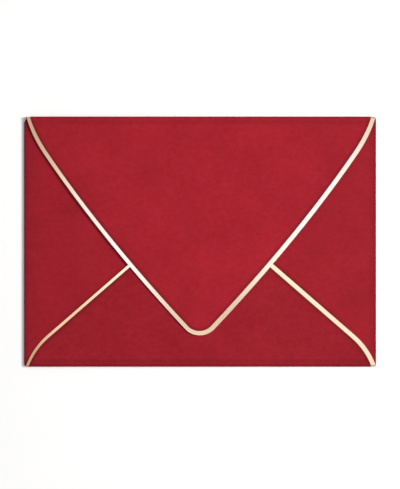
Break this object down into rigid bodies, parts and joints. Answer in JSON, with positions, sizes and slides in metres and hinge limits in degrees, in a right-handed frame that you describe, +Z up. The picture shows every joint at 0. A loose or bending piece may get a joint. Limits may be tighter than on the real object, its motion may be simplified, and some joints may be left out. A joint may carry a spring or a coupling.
{
  "type": "invitation envelope",
  "caption": "Closed rectangular envelope with a deep pointed seal flap and a pointed bottom flap, both edged with a foil border; the seal flap opens on its top fold.",
  "frame": {"origin": "centre of the underside, the plane that the closed envelope lies on", "axes": "+X to the right along the fold of the seal flap, +Y towards that fold, +Z up out of the flap side"},
  "size_m": [0.176, 0.125, 0.0018],
  "materials": {
    "paper": "matt, faintly mottled card",
    "foil": "pale gold hot foil, satin",
    "glue": "dried white glue",
    "gum": "clear dried gum on the card"
  },
  "bodies": {
    "envelope_body": {"back_panel": "paper", "left_side_flap": "paper", "right_side_flap": "paper", "left_fold": "paper", "right_fold": "paper", "bottom_flap": "paper", "bottom_fold": "paper", "top_fold": "paper", "bottom_flap_foil": "foil", "left_glue_seam": "glue", "right_glue_seam": "glue"},
    "seal_flap_body": {"seal_flap": "paper", "seal_flap_foil": "foil", "seal_gum": "gum"}
  },
  "joints": [
    {"name": "seal_flap_hinge", "type": "hinge", "parent": "envelope_body", "child": "seal_flap_body", "pos_m": [0, 0.06162, 0.00088], "axis": [-1, 0, 0], "range_deg": [0, 178], "deforming": ["top_fold"]}
  ]
}
